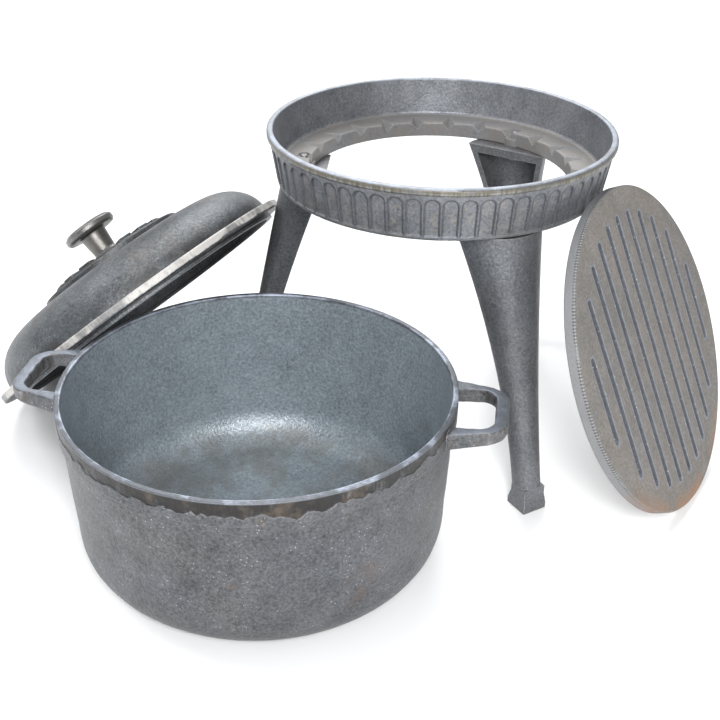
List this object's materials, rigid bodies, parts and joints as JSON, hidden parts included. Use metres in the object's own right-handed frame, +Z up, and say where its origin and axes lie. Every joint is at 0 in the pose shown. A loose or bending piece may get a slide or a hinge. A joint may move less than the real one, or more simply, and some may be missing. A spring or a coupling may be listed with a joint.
{
  "type": "cast iron coal cooker set",
  "caption": "Cast-iron cooking set: round three-legged fire ring with a fluted wall, a slotted coal grate, a two-handled pot and a domed lid with a spool knob, laid out apart.",
  "frame": {"origin": "centre of the whole set's footprint, on the ground", "axes": "+Z up; +X to the right and +Y away from the viewer, with the pot at the front left and the stand at the back right"},
  "size_m": [0.6109, 0.4698, 0.26],
  "materials": {
    "pot_iron": "raw casting with ground rim",
    "lid_iron": "raw casting with ground edge",
    "ring_iron": "raw casting",
    "leg_iron": "raw casting",
    "grate_iron": "dusty raw casting",
    "knob_iron": "turned",
    "fastener_steel": "plain"
  },
  "bodies": {
    "stand": {"fire_ring": "ring_iron", "leg_left": "leg_iron", "leg_front": "leg_iron", "leg_back": "leg_iron", "leg_bolt_left": "fastener_steel", "leg_bolt_front": "fastener_steel", "leg_bolt_back": "fastener_steel", "leg_washer_left": "fastener_steel", "leg_washer_front": "fastener_steel", "leg_washer_back": "fastener_steel"},
    "pot": {"pot": "pot_iron"},
    "lid": {"lid": "lid_iron", "knob": "knob_iron", "knob_screw": "fastener_steel", "knob_washer": "fastener_steel"},
    "grate": {"grate": "grate_iron"}
  },
  "joints": [
    {"name": "pot_lift", "type": "slide", "parent": "stand", "child": "pot", "axis": [0, -0.9781, 0.2079], "range_m": [0, 0.35]},
    {"name": "lid_lift", "type": "slide", "parent": "stand", "child": "lid", "axis": [-0.5996, 0.3029, 0.7408], "range_m": [0, 0.3]},
    {"name": "grate_lift", "type": "slide", "parent": "stand", "child": "grate", "axis": [0.7765, -0.4703, 0.4195], "range_m": [0, 0.3]}
  ]
}
